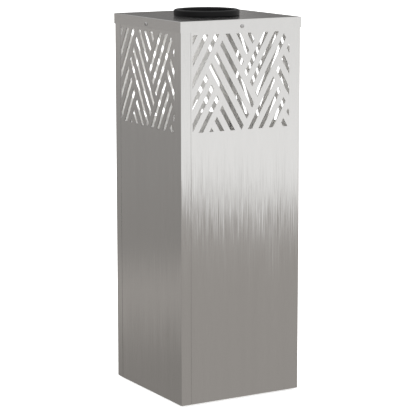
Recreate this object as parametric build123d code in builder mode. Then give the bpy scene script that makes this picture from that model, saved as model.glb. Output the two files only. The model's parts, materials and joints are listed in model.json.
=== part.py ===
from build123d import *
import math
import os

# A tall square stand of folded stainless sheet. Four identical side panels join in
# flush lapped seams beside the corners, a folded lid closes the top, and a black
# plastic collar in the lid is the mouth. The frame is +Z up, with the origin on the
# floor under the centre. The front is -Y. Everything is in millimetres.

# ---- driving dimensions -------------------------------------------------------------
body_width = 200.0  # across two side panels
lid_top = 560.0  # height of the lid's top face
sheet = 0.8
bend = 1.0  # outside radius of every fold
foot_height = 3.0  # panels' bottom edge above the floor

lap_width = 16.0  # return flange of a side panel
seam_gap = 0.2  # between a flange's end and the next panel's joggle
joggle_slope = 60.0  # degrees
joggle_radius = 0.1  # inside radius of the joggle's two folds
fit_gap = 0.4  # between the panels and the lid's skirt
skirt_depth = 15.7

# cut-outs: bands of three slots on two 60 degree directions
slot_width = 6.3  # square across a slot
bar_width = 9.15  # square across the metal left between two slots
window_left = 19.1  # from the panel's left corner, seen from outside
window_drop = 19.7  # from the lid's top
window_width = 162.0
window_height = 139.0
band_start = 84.8  # oblique place of the first band's first end
band_side = 11.8  # oblique place of the first band's first slot

# collar and its lock ring
bore_radius = 41.0
collar_radius = 48.5
collar_height = 8.4
neck_radius = 43.7
neck_depth = 14.0
rim_round = 2.4  # inner and outer edges of the collar's top
foot_round = 1.2  # collar's lower outer edge
neck_chamfer = 0.6
lid_hole_radius = 44.0
lock_radius = 50.0
lock_thickness = 5.0
lock_notches = 12
notch_radius = 3.0
notch_offset = 1.0  # notch centres outside the lock ring's edge
thread_clearance = 0.1  # lock ring round the neck

# lid screws (M3 button heads), their washers and nuts
screw_drop = 9.8  # screw axis below the lid's top
screw_radius = 1.5
screw_length = 6.0
head_radius = 2.9
head_height = 1.7
head_round = 1.45
socket_radius = 1.15
socket_depth = 0.9
washer_radius = 3.5
washer_thickness = 0.5
nut_radius = 3.15
nut_thickness = 2.4
screw_clearance = 0.2  # screw in the lid's holes and the panels' notches
washer_clearance = 0.05
nut_clearance = 0.02

# base pan, rubber feet and rivets
pan_gap = 0.1  # between the pan's flanges and the panels' tongues
pan_lift = 2.0  # plate above the panels' bottom edge
pan_flange = 20.0
foot_radius = 9.0
foot_taper = 8.0  # degrees
foot_inset = 22.0  # foot centre from the outside of a panel
foot_recess_radius = 4.2
foot_recess_depth = 2.6
rivet_radius = 1.6
rivet_head_radius = 3.2
rivet_head_height = 1.0
rivet_head_round = 0.7
rivet_tail_radius = 2.6
rivet_tail_height = 2.0

# drip tray
tray_half = 92.0
tray_height = 38.0
tray_wall = 2.0
tray_corner = 14.0
tray_rim = 1.8
tray_round = 6.0  # round the tray's bottom edge
tray_stand = 4.0  # height of the ring the tray stands on
tray_stand_radius = 62.0

# ---- worked out ---------------------------------------------------------------------
half = body_width / 2
panel_inner = half - sheet
tongue_inner = panel_inner - sheet
tongue_start = tongue_inner - bend
joggle_start = half - lap_width - seam_gap
joggle_end = joggle_start - sheet / math.tan(math.radians(joggle_slope))
panel_top = lid_top - sheet
panel_height = panel_top - foot_height
lid_half = half + fit_gap + sheet
screw_height = lid_top - screw_drop
pan_half = tongue_inner - pan_gap
pan_bottom = foot_height + pan_lift
pan_top = pan_bottom + sheet
foot_place = half - foot_inset
neck_bottom = lid_top - neck_depth
tray_bottom = pan_top + tray_stand

slope = math.radians(60)
slot_step = slot_width / math.sin(slope)
bar_step = bar_width / math.sin(slope)
pitch = slot_step + bar_step
band_pitch = 3 * pitch
band_length = 6 * pitch
band_period = 2 * band_length + bar_step

os.makedirs("parts", exist_ok=True)


# ---- cut-out pattern ----------------------------------------------------------------
# A point is placed by two oblique numbers measured along the panel's width: "along"
# grows down to the right and "across" grows up to the right.
def oblique(along, across):
    right = (along + across) / 2
    down = (along - across) * math.tan(slope) / 2
    return (right - half, lid_top - down)


def slot(along, across):
    corners = [
        oblique(along[0], across[0]),
        oblique(along[1], across[0]),
        oblique(along[1], across[1]),
        oblique(along[0], across[1]),
    ]
    Polygon(*corners, align=None)


def widened(centre):
    return (centre - slot_step / 2, centre + slot_step / 2)


def band(column, row):
    first = band_start - band_pitch * column + band_period * row
    side = band_side + band_pitch * column
    low = side - band_pitch - slot_step / 2
    high = side + 2 * pitch + slot_step / 2
    for count in range(3):
        slot((first, first + band_length), widened(side + count * pitch))
        slot(widened(first - bar_step - slot_step / 2 - count * pitch), (low, high))


def cut_outs():
    for column, row in ((-1, 0), (0, 0), (1, 0), (1, 1), (2, 1)):
        band(column, row)


# ---- side panels --------------------------------------------------------------------
# The sheet starts beside its left corner as a tongue, one sheet's thickness in, joggles
# out to the panel's face, and turns round its right corner into a flange. The flange
# lies on the next panel's tongue, flush with that panel's face. Four of them, a quarter
# turn apart, close the column. An open notch in the top edge lets the lid lift off with
# its screws in place.
def side_panel(name, turn):
    ground = Plane.XY.offset(foot_height).rotated((0, 0, turn))
    face = Plane.XZ.rotated((0, 0, turn))
    with BuildPart() as panel:
        with BuildSketch(ground):
            with BuildLine():
                FilletPolyline(
                    (-tongue_start, -panel_inner),
                    (-joggle_start, -panel_inner),
                    (-joggle_end, -half),
                    (half, -half),
                    (half, lap_width - half),
                    radius=[joggle_radius, joggle_radius + sheet, bend],
                )
                offset(amount=sheet, side=Side.LEFT)
            make_face()
        extrude(amount=panel_height)
        with BuildSketch(face):
            cut_outs()
            with Locations((window_left - half, lid_top - window_drop)):
                Rectangle(
                    window_width,
                    window_height,
                    align=(Align.MIN, Align.MAX),
                    mode=Mode.INTERSECT,
                )
            with Locations((0, (screw_height + lid_top) / 2)):
                SlotCenterToCenter(
                    lid_top - screw_height, 2 * (screw_radius + screw_clearance), rotation=90
                )
        extrude(amount=half, mode=Mode.SUBTRACT)
    panel.part.label = name
    export_step(panel.part, f"parts/{name}.step")


side_panel("panel_front", 0)
side_panel("panel_right", 90)
side_panel("panel_back", 180)
side_panel("panel_left", -90)

# ---- lid ----------------------------------------------------------------------------
with BuildPart() as lid:
    with BuildSketch(Plane.XY.offset(lid_top)):
        RectangleRounded(2 * lid_half, 2 * lid_half, bend)
    extrude(amount=-skirt_depth)
    fillet(lid.edges().group_by(Axis.Z)[-1], bend)
    with BuildSketch(Plane.XY.offset(panel_top)):
        RectangleRounded(2 * (lid_half - sheet), 2 * (lid_half - sheet), bend - sheet)
    extrude(amount=-skirt_depth, mode=Mode.SUBTRACT)
    with BuildSketch(Plane.XY.offset(lid_top)):
        Circle(lid_hole_radius)
    extrude(amount=-2 * sheet, mode=Mode.SUBTRACT)
    for turn in (0, 90):
        with BuildSketch(Plane.XZ.rotated((0, 0, turn))):
            with Locations((0, screw_height)):
                Circle(screw_radius + screw_clearance)
        extrude(amount=lid_half, both=True, mode=Mode.SUBTRACT)
lid.part.label = "lid"
export_step(lid.part, "parts/lid.step")

# ---- collar and lock ring -----------------------------------------------------------
# The collar's neck drops through the lid and the lock ring screws up under the sheet.
# The thread between them is plain.
with BuildPart() as collar:
    with BuildSketch(Plane.XZ):
        with Locations((bore_radius, lid_top)):
            Rectangle(
                collar_radius - bore_radius,
                collar_height,
                align=(Align.MIN, Align.MIN),
            )
            Rectangle(
                neck_radius - bore_radius,
                neck_depth,
                align=(Align.MIN, Align.MAX),
            )
    revolve(axis=Axis.Z)
    rings = collar.edges().filter_by(GeomType.CIRCLE)
    fillet(rings.group_by(Axis.Z)[-1], rim_round)
    rings = collar.edges().filter_by(GeomType.CIRCLE)
    fillet(rings.group_by(SortBy.RADIUS)[-1].sort_by(Axis.Z)[0], foot_round)
    chamfer(collar.edges().filter_by(GeomType.CIRCLE).group_by(Axis.Z)[0], neck_chamfer)
collar.part.label = "collar"
export_step(collar.part, "parts/collar.step")

with BuildPart() as lock_ring:
    with BuildSketch(Plane.XY.offset(panel_top - lock_thickness)):
        Circle(lock_radius)
        Circle(neck_radius + thread_clearance, mode=Mode.SUBTRACT)
        with PolarLocations(lock_radius + notch_offset, lock_notches):
            Circle(notch_radius, mode=Mode.SUBTRACT)
    extrude(amount=lock_thickness)
lock_ring.part.label = "collar_lock_ring"
export_step(lock_ring.part, "parts/collar_lock_ring.step")

# ---- lid screws ---------------------------------------------------------------------
# One at the middle of each side of the skirt, clamping a panel between the skirt and
# a washer and nut inside. The axis of each is drawn along +X and then turned.
def on_axis(distance):
    return Plane(origin=(distance, 0, screw_height), x_dir=(0, 1, 0), z_dir=(1, 0, 0))


with BuildPart() as screw:
    with BuildSketch(on_axis(lid_half)):
        Circle(head_radius)
    extrude(amount=head_height)
    fillet(screw.edges().group_by(Axis.X)[-1], head_round)
    with BuildSketch(on_axis(lid_half + head_height)):
        RegularPolygon(socket_radius, 6)
    extrude(amount=-socket_depth, mode=Mode.SUBTRACT)
    with BuildSketch(on_axis(lid_half)):
        Circle(screw_radius)
    extrude(amount=-screw_length)

with BuildPart() as washer:
    with BuildSketch(on_axis(panel_inner)):
        Circle(washer_radius)
        Circle(screw_radius + washer_clearance, mode=Mode.SUBTRACT)
    extrude(amount=-washer_thickness)

with BuildPart() as nut:
    with BuildSketch(on_axis(panel_inner - washer_thickness)):
        RegularPolygon(nut_radius, 6)
        Circle(screw_radius + nut_clearance, mode=Mode.SUBTRACT)
    extrude(amount=-nut_thickness)


def four_round(piece, name):
    with BuildPart() as ring:
        with PolarLocations(0, 4):
            add(piece.part)
    ring.part.label = name
    export_step(ring.part, f"parts/{name}.step")


four_round(screw, "lid_screws")
four_round(washer, "lid_washers")
four_round(nut, "lid_nuts")

# ---- base pan -----------------------------------------------------------------------
# A folded tray of sheet with its flanges up, spot welded to the panels' tongues.
feet = GridLocations(2 * foot_place, 2 * foot_place, 2, 2)

with BuildPart() as base_pan:
    with BuildSketch(Plane.XY.offset(pan_bottom)):
        RectangleRounded(2 * pan_half, 2 * pan_half, bend)
    extrude(amount=sheet + pan_flange)
    fillet(base_pan.edges().group_by(Axis.Z)[0], bend)
    with BuildSketch(Plane.XY.offset(pan_top)):
        RectangleRounded(2 * (pan_half - sheet), 2 * (pan_half - sheet), bend - sheet)
    extrude(amount=pan_flange, mode=Mode.SUBTRACT)
    with BuildSketch(Plane.XY.offset(pan_bottom)):
        with feet:
            Circle(rivet_radius)
    extrude(amount=sheet, mode=Mode.SUBTRACT)
base_pan.part.label = "base_pan"
export_step(base_pan.part, "parts/base_pan.step")


# ---- feet and rivets ----------------------------------------------------------------
def rubber_foot(name, x, y):
    with BuildPart() as foot:
        with BuildSketch(Plane.XY.offset(pan_bottom)):
            with Locations((x, y)):
                Circle(foot_radius)
        extrude(amount=-pan_bottom, taper=foot_taper)
        with BuildSketch():
            with Locations((x, y)):
                Circle(foot_recess_radius)
        extrude(amount=foot_recess_depth, mode=Mode.SUBTRACT)
        with BuildSketch():
            with Locations((x, y)):
                Circle(rivet_radius)
        extrude(amount=pan_bottom, mode=Mode.SUBTRACT)
    foot.part.label = name
    export_step(foot.part, f"parts/{name}.step")


rubber_foot("foot_front_left", -foot_place, -foot_place)
rubber_foot("foot_front_right", foot_place, -foot_place)
rubber_foot("foot_back_left", -foot_place, foot_place)
rubber_foot("foot_back_right", foot_place, foot_place)

with BuildPart() as foot_rivets:
    with BuildSketch(Plane.XY.offset(foot_recess_depth)):
        with feet:
            Circle(rivet_head_radius)
    extrude(amount=-rivet_head_height)
    fillet(foot_rivets.edges().group_by(Axis.Z)[0], rivet_head_round)
    with BuildSketch(Plane.XY.offset(foot_recess_depth)):
        with feet:
            Circle(rivet_radius)
    extrude(amount=pan_top - foot_recess_depth)
    with BuildSketch(Plane.XY.offset(pan_top)):
        with feet:
            Circle(rivet_tail_radius)
    extrude(amount=rivet_tail_height)
foot_rivets.part.label = "foot_rivets"
export_step(foot_rivets.part, "parts/foot_rivets.step")

# ---- drip tray ----------------------------------------------------------------------
with BuildPart() as drip_tray:
    with BuildSketch(Plane.XY.offset(tray_bottom)):
        RectangleRounded(2 * tray_half, 2 * tray_half, tray_corner)
    extrude(amount=tray_height)
    with BuildSketch(Plane.XY.offset(tray_bottom + tray_height)):
        RectangleRounded(
            2 * (tray_half + tray_rim),
            2 * (tray_half + tray_rim),
            tray_corner + tray_rim,
        )
    extrude(amount=-tray_rim)
    fillet(drip_tray.edges().group_by(Axis.Z)[0], tray_round)
    with BuildSketch(Plane.XY.offset(tray_bottom + tray_wall)):
        RectangleRounded(
            2 * (tray_half - tray_wall),
            2 * (tray_half - tray_wall),
            tray_corner - tray_wall,
        )
    extrude(amount=tray_height, mode=Mode.SUBTRACT)
    with BuildSketch(Plane.XY.offset(tray_bottom)):
        Circle(tray_stand_radius)
        Circle(tray_stand_radius - tray_wall, mode=Mode.SUBTRACT)
    extrude(amount=-tray_stand)
drip_tray.part.label = "drip_tray"
export_step(drip_tray.part, "parts/drip_tray.step")
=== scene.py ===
import json
import math

import bpy
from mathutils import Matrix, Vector

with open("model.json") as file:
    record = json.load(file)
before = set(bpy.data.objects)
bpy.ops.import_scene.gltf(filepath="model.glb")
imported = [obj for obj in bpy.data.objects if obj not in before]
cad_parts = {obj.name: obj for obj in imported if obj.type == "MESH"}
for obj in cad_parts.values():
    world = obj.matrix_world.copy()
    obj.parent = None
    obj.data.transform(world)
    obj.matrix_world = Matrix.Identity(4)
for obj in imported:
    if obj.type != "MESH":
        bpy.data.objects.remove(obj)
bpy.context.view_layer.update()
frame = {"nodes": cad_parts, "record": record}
nodes = frame["nodes"]
context = bpy.context

RIGHT = (1.0, 0.0, 0.0)
BACK = (0.0, 1.0, 0.0)
UPRIGHT = (0.0, 0.0, 1.0)


# ---- node helpers -------------------------------------------------------------------
class Graph:
    """A node tree with short calls for the few kinds of node used here."""

    def __init__(self, tree):
        self.tree = tree
        tree.nodes.clear()

    def add(self, kind, **settings):
        node = self.tree.nodes.new("ShaderNode" + kind)
        for key, value in settings.items():
            setattr(node, key, value)
        return node

    def feed(self, socket, value):
        if isinstance(value, bpy.types.NodeSocket):
            self.tree.links.new(value, socket)
        else:
            socket.default_value = value

    def math(self, operation, *values):
        node = self.add("Math", operation=operation)
        for socket, value in zip(node.inputs, values):
            self.feed(socket, value)
        return node.outputs[0]

    def vector(self, operation, *values):
        node = self.add("VectorMath", operation=operation)
        for socket, value in zip(node.inputs, values):
            self.feed(socket, value)
        return node.outputs["Value" if operation == "DOT_PRODUCT" else "Vector"]

    def scaled(self, vector, factor):
        node = self.add("VectorMath", operation="SCALE")
        self.feed(node.inputs[0], vector)
        self.feed(node.inputs["Scale"], factor)
        return node.outputs["Vector"]

    def noise(self, vector, scale=1.0, detail=2.0, roughness=0.5):
        node = self.add("TexNoise")
        self.feed(node.inputs["Vector"], vector)
        node.inputs["Scale"].default_value = scale
        node.inputs["Detail"].default_value = detail
        node.inputs["Roughness"].default_value = roughness
        return node.outputs["Fac"]

    def remap(self, value, low, high, to_low, to_high, smooth=False):
        node = self.add("MapRange")
        if smooth:
            node.interpolation_type = "SMOOTHSTEP"
        for name, number in (
            ("Value", value),
            ("From Min", low),
            ("From Max", high),
            ("To Min", to_low),
            ("To Max", to_high),
        ):
            self.feed(node.inputs[name], number)
        return node.outputs["Result"]

    def ramp(self, value, stops):
        node = self.add("ValToRGB")
        ramp = node.color_ramp
        ramp.interpolation = "EASE"
        while len(ramp.elements) < len(stops):
            ramp.elements.new(0.5)
        for element, (place, colour) in zip(ramp.elements, stops):
            element.position = place
            element.color = (*colour, 1.0)
        self.feed(node.inputs["Fac"], value)
        return node.outputs["Color"]

    def mixed(self, data_type, first_input, output, factor, first, second):
        node = self.add("Mix", data_type=data_type)
        self.feed(node.inputs[0], factor)
        self.feed(node.inputs[first_input], first)
        self.feed(node.inputs[first_input + 1], second)
        return node.outputs[output]

    def pick(self, factor, first, second):
        return self.mixed("FLOAT", 2, 0, factor, first, second)

    def blend(self, factor, first, second):
        return self.mixed("VECTOR", 4, 1, factor, first, second)

    def mix(self, factor, first, second):
        return self.mixed("RGBA", 6, 2, factor, first, second)


def material(name):
    made = bpy.data.materials.new(name)
    made.use_nodes = True
    graph = Graph(made.node_tree)
    output = graph.add("OutputMaterial")
    shader = graph.add("BsdfPrincipled")
    graph.tree.links.new(shader.outputs["BSDF"], output.inputs["Surface"])
    return made, graph, shader


def edge_band(graph, normal, width):
    """1 along sharp edges, for this far in from each, and 0 elsewhere."""
    fully_worn = 0.80  # cosine between the rounded and the true normal
    unworn = 0.98
    rounded = graph.add("Bevel", samples=4)
    rounded.inputs["Radius"].default_value = width
    straight = graph.vector("DOT_PRODUCT", rounded.outputs["Normal"], normal)
    return graph.remap(straight, fully_worn, unworn, 1.0, 0.0)


# ---- steel --------------------------------------------------------------------------
ROLLED_DARK = (0.74, 0.73, 0.71, 1.0)
ROLLED_LIGHT = (0.82, 0.81, 0.79, 1.0)
RUBBED_STEEL = (0.72, 0.71, 0.70, 1.0)
RUBBED_SHARE = 0.6
SHEET_WEAR = 0.0005  # metres in from an edge
METAL_WEAR = 0.0003
# on the plastic mouldings the lightened edge band is wear and also a painted highlight along the
# rims
PLASTIC_WEAR_AND_HIGHLIGHT = 0.0008

# how far the ground surface leans, as a slope from -1 to +1 times these
STREAK_LEAN = 0.003
THREAD_LEAN = 0.021
BROAD_LEAN = 0.003
HAIR_TILT = 0.12

GROUND_ROUGH = (0.105, 0.135)
ROLLED_ROUGH = (0.52, 0.60)
ROLLED_METALLIC = 0.35
INNER_FACE = 0.09  # an inner face stands at least this far from the column's axis, metres


def upright_grain(graph, normal, place):
    """Grain that runs up the sheet: its direction, and a point measured across, across
    and along it."""
    return UPRIGHT, place


def lid_grain(graph, normal, place):
    """Grain that runs from front to back over the lid and on down the front and back
    skirts. On the side skirts it stays level."""
    flank = graph.math("ABSOLUTE", graph.vector("DOT_PRODUCT", normal, RIGHT))
    flank = graph.math("GREATER_THAN", flank, 0.7)
    over = graph.vector("NORMALIZE", graph.vector("CROSS_PRODUCT", RIGHT, normal))
    direction = graph.blend(flank, over, BACK)
    length = graph.vector("DOT_PRODUCT", place, (0.0, 1.0, 1.0))
    split = graph.add("SeparateXYZ")
    graph.feed(split.inputs[0], place)
    across = graph.add("CombineXYZ")
    graph.feed(across.inputs[0], split.outputs[0])
    graph.feed(across.inputs[2], length)
    level = graph.add("CombineXYZ")
    graph.feed(level.inputs[0], split.outputs[2])
    graph.feed(level.inputs[2], split.outputs[1])
    return direction, graph.blend(flank, across.outputs[0], level.outputs[0])


def sheet_steel(name, grain, reverse, tone=(0.632, 0.626, 0.616)):
    """Stainless sheet, ground along one direction on its show side and left as rolled on
    its reverse, where the socket called reverse is 1."""
    made, graph, shader = material(name)
    place = graph.add("TexCoord").outputs["Object"]
    normal = graph.add("NewGeometry").outputs["Normal"]
    back = reverse(graph, normal, place)
    direction, point = grain(graph, normal, place)

    def streaks(across, along, detail):
        stretched = graph.vector("MULTIPLY", point, (across, across, along))
        return graph.noise(stretched, detail=detail)

    broad = streaks(60.0, 2.0, 1.0)
    streak = streaks(330.0, 6.0, 2.0)
    thread = streaks(1050.0, 13.0, 2.0)
    hair = streaks(2200.0, 40.0, 1.0)

    # colour: hair lines a shade apart, and a slow drift across the sheet
    shade = graph.math("ADD", graph.math("MULTIPLY", hair, 0.7), graph.math("MULTIPLY", broad, 0.3))
    dark = (*(0.975 * part for part in tone), 1.0)
    light = (*(1.025 * part for part in tone), 1.0)
    ground = graph.mix(graph.remap(shade, 0.35, 0.65, 0.0, 1.0), dark, light)
    cloud = graph.noise(place, scale=60.0, detail=3.0)
    mottle = graph.remap(cloud, 0.3, 0.7, 0.0, 1.0)
    rolled = graph.mix(mottle, ROLLED_DARK, ROLLED_LIGHT)
    tinted = graph.mix(back, ground, rolled)
    lightened_edge = graph.math("MULTIPLY", edge_band(graph, normal, SHEET_WEAR), RUBBED_SHARE)
    graph.feed(shader.inputs["Base Color"], graph.mix(lightened_edge, tinted, RUBBED_STEEL))

    fine = graph.remap(hair, 0.3, 0.7, *GROUND_ROUGH)
    coarse = graph.remap(cloud, 0.3, 0.7, *ROLLED_ROUGH)
    graph.feed(shader.inputs["Roughness"], graph.pick(back, fine, coarse))
    graph.feed(shader.inputs["Metallic"], graph.remap(back, 0.0, 1.0, 1.0, ROLLED_METALLIC))
    shader.inputs["Anisotropic"].default_value = 1.0

    # each streak leans by up to a degree or so along the grain, and each hair line leans
    # to its side, which is what draws a reflection out square to the grain
    side = graph.vector("CROSS_PRODUCT", normal, direction)
    lean = graph.math(
        "ADD",
        graph.remap(streak, 0.0, 1.0, -STREAK_LEAN, STREAK_LEAN),
        graph.remap(thread, 0.0, 1.0, -THREAD_LEAN, THREAD_LEAN),
    )
    lean = graph.math("ADD", lean, graph.remap(broad, 0.0, 1.0, -BROAD_LEAN, BROAD_LEAN))
    tilt = graph.remap(hair, 0.0, 1.0, -HAIR_TILT, HAIR_TILT)
    tipped = graph.vector("ADD", normal, graph.scaled(direction, lean))
    tipped = graph.vector("ADD", tipped, graph.scaled(side, tilt))
    graph.feed(shader.inputs["Normal"], graph.vector("NORMALIZE", tipped))
    graph.feed(shader.inputs["Tangent"], graph.blend(back, side, direction))
    return made


def panel_reverse(graph, normal, place):
    """1 on faces that look in at the column's axis from a panel's distance."""
    level = graph.vector("MULTIPLY", place, (1.0, 1.0, 0.0))
    return graph.math("LESS_THAN", graph.vector("DOT_PRODUCT", normal, level), -INNER_FACE)


def under_reverse(graph, normal, place):
    """1 on faces that look down."""
    return graph.math("LESS_THAN", graph.vector("DOT_PRODUCT", normal, UPRIGHT), -0.5)


def plain_metal(name, tone, rough, scale):
    """Rolled or turned metal with a faint mottle."""
    made, graph, shader = material(name)
    place = graph.add("TexCoord").outputs["Object"]
    mottle = graph.noise(place, scale=scale, detail=4.0)
    dark = tuple(0.85 * part for part in tone)
    lightened_edge = tuple(1.12 * part for part in tone)
    tinted = graph.mix(graph.remap(mottle, 0.3, 0.7, 0.0, 1.0), (*dark, 1.0), (*tone, 1.0))
    edge = edge_band(graph, graph.add("NewGeometry").outputs["Normal"], METAL_WEAR)
    graph.feed(shader.inputs["Base Color"], graph.mix(edge, tinted, (*lightened_edge, 1.0)))
    graph.feed(shader.inputs["Roughness"], graph.remap(mottle, 0.3, 0.7, rough - 0.05, rough + 0.06))
    shader.inputs["Metallic"].default_value = 1.0
    bump = graph.add("Bump")
    bump.inputs["Strength"].default_value = 0.15
    bump.inputs["Distance"].default_value = 0.0002
    graph.feed(bump.inputs["Height"], mottle)
    graph.feed(shader.inputs["Normal"], bump.outputs["Normal"])
    return made


def moulded_plastic(name, tone, rough, grain_size, bump_depth):
    """Black moulding with the fine spark-eroded grain of its tool."""
    made, graph, shader = material(name)
    place = graph.add("TexCoord").outputs["Object"]
    grain = graph.noise(place, scale=1.0 / grain_size, detail=2.0, roughness=0.6)
    cloud = graph.noise(place, scale=25.0, detail=2.0)
    chalky = tuple(1.5 * part for part in tone)
    # edges lightened 2.5 times: partly wear, partly a painted highlight along the collar's rounded
    # rim
    lightened_edge = tuple(2.5 * part for part in tone)
    tinted = graph.mix(graph.remap(cloud, 0.3, 0.75, 0.0, 1.0), (*tone, 1.0), (*chalky, 1.0))
    edge = edge_band(graph, graph.add("NewGeometry").outputs["Normal"], PLASTIC_WEAR_AND_HIGHLIGHT)
    graph.feed(shader.inputs["Base Color"], graph.mix(edge, tinted, (*lightened_edge, 1.0)))
    dull = graph.remap(cloud, 0.3, 0.7, rough - 0.04, rough + 0.05)
    graph.feed(shader.inputs["Roughness"], graph.pick(edge, dull, rough - 0.1))
    bump = graph.add("Bump")
    bump.inputs["Strength"].default_value = 0.35
    bump.inputs["Distance"].default_value = bump_depth
    graph.feed(bump.inputs["Height"], grain)
    graph.feed(shader.inputs["Normal"], bump.outputs["Normal"])
    shader.inputs["Specular IOR Level"].default_value = 0.15
    return made


panel_steel = sheet_steel("panel_steel", upright_grain, panel_reverse)
lid_steel = sheet_steel("lid_steel", lid_grain, under_reverse)
pan_steel = plain_metal("pan_steel", (0.56, 0.55, 0.54), 0.42, 120.0)
screw_steel = plain_metal("screw_steel", (0.50, 0.495, 0.49), 0.16, 900.0)
rivet_metal = plain_metal("rivet_metal", (0.72, 0.72, 0.73), 0.34, 600.0)
collar_plastic = moulded_plastic("collar_plastic", (0.004, 0.004, 0.0044), 0.5, 0.0006, 0.00003)
tray_plastic = moulded_plastic("tray_plastic", (0.012, 0.012, 0.0125), 0.5, 0.0009, 0.00008)
foot_rubber = moulded_plastic("foot_rubber", (0.014, 0.014, 0.014), 0.7, 0.0012, 0.0001)

FINISH = {
    "brushed_steel": panel_steel,
    "plain_steel": pan_steel,
    "screw_steel": screw_steel,
    "rivet_metal": rivet_metal,
    "collar_plastic": collar_plastic,
    "tray_plastic": tray_plastic,
    "foot_rubber": foot_rubber,
}
for entry in frame["record"]["subparts"]:
    node = nodes[entry["node"]]
    finish = lid_steel if entry["node"] == "lid" else FINISH[entry["material_slot"]]
    node.data.materials.clear()
    node.data.materials.append(finish)


# ---- studio -------------------------------------------------------------------------
LOWEST = -30.0  # elevations the studio's ramps run between, degrees
HIGHEST = 90.0
WALL_SLANT = 0.4  # degrees, up on one side and down on the other
DIM_MIDDLE = 125.0  # azimuth of the middle of the dim side, degrees
DIM_EDGE = (70.0, 110.0)  # degrees either side of its middle, where it fades out
SCREEN_GREY = (0.20, 0.196, 0.192, 1.0)
BACKDROP = (1.0, 1.0, 1.0, 1.0)
SOFT_LIGHT = (1.35, 1.35, 1.35, 1.0)


def floor():
    """A plain pale floor that gives off a little light and stays out of reflections."""
    size = 40.0
    mesh = bpy.data.meshes.new("floor")
    corners = [(-size, -size, 0), (size, -size, 0), (size, size, 0), (-size, size, 0)]
    mesh.from_pydata(corners, [], [(0, 1, 2, 3)])
    made = bpy.data.objects.new("floor", mesh)
    context.scene.collection.objects.link(made)
    paint, graph, shader = material("floor_paint")
    shader.inputs["Base Color"].default_value = (0.9, 0.9, 0.9, 1.0)
    shader.inputs["Roughness"].default_value = 0.9
    shader.inputs["Emission Color"].default_value = (1.0, 1.0, 1.0, 1.0)
    shader.inputs["Emission Strength"].default_value = 0.6
    mesh.materials.append(paint)
    made.visible_glossy = False


def degrees_up(angle):
    """Where an elevation sits on the studio's ramps."""
    return (angle - LOWEST) / (HIGHEST - LOWEST)


def grey(level, warm=0.0):
    return (level * (1 + warm), level, level * (1 - warm))


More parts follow.
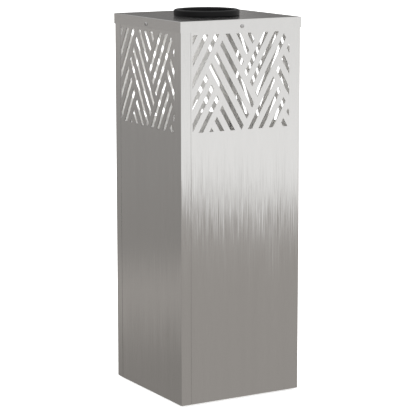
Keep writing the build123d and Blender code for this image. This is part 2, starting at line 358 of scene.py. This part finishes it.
def studio():
    """What the steel reflects: a bright wall above a darker band, with a dim side and a
    dark screen behind. It is set by direction alone. The camera sees a white backdrop,
    and rough surfaces are lit evenly from all round."""
    world = bpy.data.worlds.new("studio")
    context.scene.world = world
    world.use_nodes = True
    graph = Graph(world.node_tree)
    output = graph.add("OutputWorld")
    direction = graph.add("TexCoord").outputs["Generated"]
    split = graph.add("SeparateXYZ")
    graph.feed(split.inputs[0], direction)
    x, y, z = split.outputs
    up = graph.math("MULTIPLY", graph.math("ARCSINE", z), 180.0 / math.pi)
    height = graph.remap(up, LOWEST, HIGHEST, 0.0, 1.0)
    around = graph.math("MULTIPLY", graph.math("ARCTAN2", y, x), 180.0 / math.pi)

    # over four degrees of azimuth the bright wall slants, a fifth of a degree for each
    # degree round, and to either side of them it runs level
    slant = graph.remap(around, -62.0, -58.0, -WALL_SLANT, WALL_SLANT)
    lifted = graph.remap(graph.math("ADD", up, slant), LOWEST, HIGHEST, 0.0, 1.0)
    bright = graph.ramp(
        lifted,
        [
            (degrees_up(-30), grey(1.10, 0.02)),
            (degrees_up(-23), grey(0.60, 0.04)),
            (degrees_up(-17), grey(0.415, 0.05)),
            (degrees_up(-11.0), grey(0.43, 0.05)),
            (degrees_up(-9.1), grey(1.17)),
            (degrees_up(-4), grey(1.08)),
            (degrees_up(15), grey(0.85)),
            (degrees_up(50), grey(1.2)),
        ],
    )
    dim = graph.ramp(
        height,
        [
            (degrees_up(-30), grey(0.42, 0.03)),
            (degrees_up(-15.2), grey(0.30, 0.05)),
            (degrees_up(-12.7), grey(0.43, 0.05)),
            (degrees_up(-11.2), grey(0.335, 0.04)),
            (degrees_up(-8.2), grey(0.365, 0.03)),
            (degrees_up(-4), grey(0.49, 0.03)),
            (degrees_up(14), grey(0.34, 0.01)),
            (degrees_up(24), grey(0.6)),
            (degrees_up(35), grey(1.15)),
        ],
    )
    turned = graph.math("ABSOLUTE", graph.math("SUBTRACT", around, DIM_MIDDLE))
    turned = graph.math("MINIMUM", turned, graph.math("SUBTRACT", 360.0, turned))
    share = graph.remap(turned, *DIM_EDGE, 1.0, 0.0, smooth=True)
    seen = graph.mix(share, bright, dim)

    # a dark screen stands behind in two leaves, with a paler gap between them: one fades
    # in from 40 degrees of azimuth to 54 and out towards 60, and the other runs from
    # there until it fades out from 80 to 100. Both fade out from 12 to 22 degrees up.
    near_leaf = graph.math(
        "MULTIPLY",
        graph.remap(around, 58.2, 59.8, 1.0, 0.2),
        graph.remap(around, 40.0, 54.0, 0.0, 1.0, smooth=True),
    )
    far_leaf = graph.remap(around, 59.6, 60.8, 0.0, 1.0, smooth=True)
    leaves = graph.math("MAXIMUM", far_leaf, near_leaf)
    far_end = graph.remap(around, 80.0, 100.0, 1.0, 0.0, smooth=True)
    foot = graph.remap(up, -4.0, -1.0, 0.0, 1.0, smooth=True)
    top = graph.remap(up, 12.0, 22.0, 1.0, 0.0, smooth=True)
    upright = graph.math("MULTIPLY", foot, top)
    screen = graph.math("MULTIPLY", graph.math("MULTIPLY", leaves, far_end), upright)
    seen = graph.mix(screen, seen, SCREEN_GREY)

    path = graph.add("LightPath")
    plain = graph.mix(path.outputs["Is Camera Ray"], SOFT_LIGHT, BACKDROP)
    colour = graph.mix(path.outputs["Is Glossy Ray"], plain, seen)
    surround = graph.add("Background")
    graph.feed(surround.inputs["Color"], colour)
    graph.feed(output.inputs["Surface"], surround.outputs[0])


def lamp():
    """A small soft lamp inside the column, against the front panel. It lights the back
    panel's inner side, which shows through the cut-outs."""
    data = bpy.data.lights.new("lamp", "AREA")
    data.shape = "RECTANGLE"
    data.size = 0.12
    data.size_y = 0.16
    data.energy = 0.09
    data.spread = math.radians(80.0)
    made = bpy.data.objects.new("lamp", data)
    context.scene.collection.objects.link(made)
    made.location = (-0.032, -0.094, 0.455)
    made.rotation_euler = (math.pi / 2, 0.0, 0.0)
    made.visible_camera = False
    made.visible_glossy = False


floor()
studio()
lamp()


# ---- camera -------------------------------------------------------------------------
def camera():
    """A long lens to the left of the front, a little above the lid."""
    turn = math.radians(30.19)  # round from the front, towards the left
    tip = math.radians(10.17)  # looking down
    distance = 2.7387  # level distance from the column's axis
    aside = 0.0021  # to the right of the axis
    height = 0.7623  # above the floor
    data = bpy.data.cameras.new("camera")
    data.sensor_width = 36.0
    data.lens = 160.63
    data.clip_end = 100.0
    made = bpy.data.objects.new("camera", data)
    context.scene.collection.objects.link(made)
    ahead = Vector((math.sin(turn), math.cos(turn), 0.0))
    right = Vector((math.cos(turn), -math.sin(turn), 0.0))
    made.location = -distance * ahead + aside * right + Vector((0.0, 0.0, height))
    made.rotation_euler = (math.pi / 2 - tip, 0.0, -turn)
    context.scene.camera = made


camera()
context.scene.view_settings.view_transform = "Standard"
